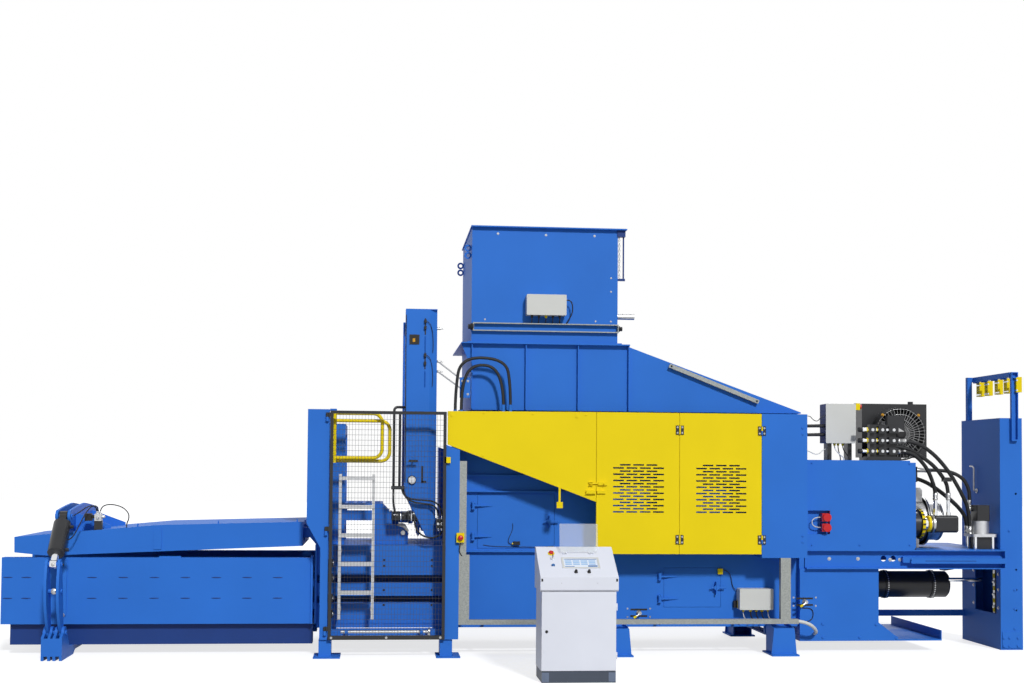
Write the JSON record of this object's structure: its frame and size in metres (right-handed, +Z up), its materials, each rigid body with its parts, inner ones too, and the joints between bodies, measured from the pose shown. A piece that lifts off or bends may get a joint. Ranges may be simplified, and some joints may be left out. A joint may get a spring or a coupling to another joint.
{
  "type": "channel baling press",
  "caption": "Horizontal channel baler: hopper, ram press, needle tying section, clamped bale channel, power unit, wire tower and console.",
  "frame": {"origin": "middle of the whole footprint, console included, on the floor", "axes": "+X along the bale channel from the bale outlet to the wire tower, +Y from the operator's side to the rear, +Z up"},
  "size_m": [10.31, 3.7656, 4.267],
  "materials": {
    "blue_paint": "semi-gloss",
    "yellow_paint": "semi-gloss",
    "black_paint": "satin",
    "steel_wire": "satin",
    "chrome": "polished",
    "galvanised": "spangled",
    "grey_enamel": "satin",
    "light_enamel": "fine texture",
    "cast_aluminium": "cast",
    "black_plastic": "matte",
    "clear_sheet": "clear",
    "red_plastic": "gloss",
    "blue_plastic": "gloss",
    "hose_rubber": "matte"
  },
  "bodies": {
    "machine": {"channel_side_front": "blue_paint", "channel_side_rear": "blue_paint", "channel_floor": "blue_paint", "clamp_frame": "blue_paint", "clamp_arms": "blue_paint", "tying_frame": "blue_paint", "tying_walls": "blue_paint", "tying_roof": "blue_paint", "needle_masts": "blue_paint", "wire_twister": "blue_paint", "ladder": "blue_paint", "chamber_walls": "blue_paint", "chamber_floor": "blue_paint", "chamber_roof": "blue_paint", "hopper": "blue_paint", "charge_chute": "blue_paint", "prepress_hood": "blue_paint", "guard_pillar": "blue_paint", "rear_chute": "blue_paint", "power_frame": "blue_paint", "oil_tank": "blue_paint", "wire_tower": "blue_paint", "side_guard": "yellow_paint", "main_cylinder": "black_paint", "oil_cooler": "black_paint", "hydraulic_pump": "black_paint", "valve_block": "black_paint", "cable_trunking": "galvanised", "electrical_boxes": "grey_enamel", "console_cabinet": "light_enamel", "pump_motor": "cast_aluminium", "filter_unit": "cast_aluminium", "arch_hose_left": "hose_rubber", "arch_hose_right": "hose_rubber", "power_hose": "hose_rubber"},
    "top_cover": {"channel_top_cover": "blue_paint"},
    "front_clamp_barrel": {"clamp_barrel_front": "black_paint"},
    "front_clamp_rod": {"clamp_rod_front": "chrome"},
    "rear_clamp_barrel": {"clamp_barrel_rear": "black_paint"},
    "rear_clamp_rod": {"clamp_rod_rear": "chrome"},
    "mesh_door_leaf": {"mesh_door": "black_paint", "door_mesh": "steel_wire"},
    "ladder_gate_hoops": {"ladder_gate": "yellow_paint"},
    "needles": {"needle_carriage": "blue_paint"},
    "twister_rotor": {"twister_shaft": "steel_wire"},
    "wire_roller": {"wire_shaft": "steel_wire"},
    "main_ram": {"press_ram": "blue_paint", "ram_rod": "chrome"},
    "flap": {"prepress_flap": "blue_paint"},
    "flap_barrels": {"prepress_barrels": "black_paint"},
    "flap_rods": {"prepress_rods": "chrome"},
    "upper_hatch_leaf": {"upper_hatch": "blue_paint"},
    "lower_hatch_leaf": {"lower_hatch": "blue_paint"},
    "inner_guard_door": {"guard_door_inner": "yellow_paint"},
    "outer_guard_door": {"guard_door_outer": "yellow_paint"},
    "fan_rotor": {"cooler_fan": "black_plastic"},
    "cabinet_door": {"console_door": "light_enamel"},
    "clear_cover": {"screen_cover": "clear_sheet"},
    "stop_button": {"console_estop": "red_plastic"},
    "start_button": {"console_button": "blue_plastic"}
  },
  "joints": [
    {"name": "cover_hinge", "type": "hinge", "parent": "machine", "child": "top_cover", "pos_m": [-2.21, 0.7521, 1.19], "axis": [0, 1, 0], "range_deg": [0, 1.8]},
    {"name": "front_barrel_pivot", "type": "hinge", "parent": "top_cover", "child": "front_clamp_barrel", "pos_m": [-4.58, 0.1121, 1.345], "axis": [1, 0, 0], "range_deg": [-0.1, 4.51]},
    {"name": "front_rod_slide", "type": "slide", "parent": "front_clamp_barrel", "child": "front_clamp_rod", "axis": [0, -0.6772, -0.7358], "range_m": [-0.001, 0.0577]},
    {"name": "rear_barrel_pivot", "type": "hinge", "parent": "top_cover", "child": "rear_clamp_barrel", "pos_m": [-4.58, 1.3921, 1.345], "axis": [-1, 0, 0], "range_deg": [-0.1, 4.51]},
    {"name": "rear_rod_slide", "type": "slide", "parent": "rear_clamp_barrel", "child": "rear_clamp_rod", "axis": [0, 0.6772, -0.7358], "range_m": [-0.001, 0.0577]},
    {"name": "mesh_door_hinge", "type": "hinge", "parent": "machine", "child": "mesh_door_leaf", "pos_m": [-2.037, -0.2169, 1.225], "axis": [0, 0, -1], "range_deg": [0, 110]},
    {"name": "ladder_gate_hinge", "type": "hinge", "parent": "machine", "child": "ladder_gate_hoops", "pos_m": [-1.975, -0.0479, 2.1], "axis": [0, 0, 1], "range_deg": [0, 60]},
    {"name": "needle_slide", "type": "slide", "parent": "machine", "child": "needles", "axis": [0, 0, -1], "range_m": [0, 1]},
    {"name": "twister_spin", "type": "hinge", "parent": "machine", "child": "twister_rotor", "pos_m": [-1.285, 0.7521, 1.19], "axis": [0, 1, 0], "continuous": true},
    {"name": "wire_shaft_spin", "type": "hinge", "parent": "machine", "child": "wire_roller", "pos_m": [-1.445, -0.0979, 0.24], "axis": [1, 0, 0], "continuous": true},
    {"name": "ram_slide", "type": "slide", "parent": "machine", "child": "main_ram", "axis": [-1, 0, 0], "range_m": [0, 1.58]},
    {"name": "flap_hinge", "type": "hinge", "parent": "machine", "child": "flap", "pos_m": [1.01, 0.7521, 1.12], "axis": [0, -1, 0], "range_deg": [0, 90]},
    {"name": "flap_barrel_pivot", "type": "hinge", "parent": "machine", "child": "flap_barrels", "pos_m": [2.455, 0.7521, 1.5], "axis": [0, -1, 0], "range_deg": [-0.2, 24.59]},
    {"name": "flap_rod_slide", "type": "slide", "parent": "flap_barrels", "child": "flap_rods", "axis": [-0.9542, 0, 0.2991], "range_m": [-0.002, 0.8595]},
    {"name": "upper_hatch_hinge", "type": "hinge", "parent": "machine", "child": "upper_hatch_leaf", "pos_m": [-0.59, 0.1061, 1.315], "axis": [0, 0, -1], "range_deg": [0, 95]},
    {"name": "lower_hatch_hinge", "type": "hinge", "parent": "machine", "child": "lower_hatch_leaf", "pos_m": [1.31, 0.1061, 0.65], "axis": [0, 0, -1], "range_deg": [0, 100]},
    {"name": "guard_door_hinge", "type": "hinge", "parent": "machine", "child": "inner_guard_door", "pos_m": [2.278, -0.2069, 1.7], "axis": [0, 0, 1], "range_deg": [0, 95]},
    {"name": "guard_fold_hinge", "type": "hinge", "parent": "inner_guard_door", "child": "outer_guard_door", "pos_m": [1.443, -0.2069, 1.7], "axis": [0, 0, 1], "range_deg": [0, 150]},
    {"name": "fan_spin", "type": "hinge", "parent": "machine", "child": "fan_rotor", "pos_m": [3.893, 0.3521, 2.236], "axis": [0, 1, 0], "continuous": true},
    {"name": "cabinet_door_hinge", "type": "hinge", "parent": "machine", "child": "cabinet_door", "pos_m": [0.532, -1.8539, 0.44], "axis": [0, 0, 1], "range_deg": [0, 100]},
    {"name": "screen_cover_hinge", "type": "hinge", "parent": "machine", "child": "clear_cover", "pos_m": [0.234, -1.58831, 1.10004], "axis": [1, 0, 0], "range_deg": [0, 129]},
    {"name": "stop_button_press", "type": "slide", "parent": "machine", "child": "stop_button", "axis": [0, 0.5193, -0.8546], "range_m": [0, 0.005], "stiffness_N_per_m": 1500, "springref_m": -0.003},
    {"name": "start_button_press", "type": "slide", "parent": "machine", "child": "start_button", "axis": [0, 0.5193, -0.8546], "range_m": [0, 0.003], "stiffness_N_per_m": 900, "springref_m": -0.002}
  ],
  "couplings": [
    {"joint": "front_barrel_pivot", "follows": "cover_hinge", "ratio": 2.4512},
    {"joint": "rear_barrel_pivot", "follows": "cover_hinge", "ratio": 2.4512},
    {"joint": "front_rod_slide", "follows": "cover_hinge", "m_per_rad": 1.8034},
    {"joint": "rear_rod_slide", "follows": "cover_hinge", "m_per_rad": 1.8034},
    {"joint": "flap_barrel_pivot", "follows": "flap_hinge", "ratio": 0.27096},
    {"joint": "flap_rod_slide", "follows": "flap_hinge", "m_per_rad": 0.5459}
  ]
}
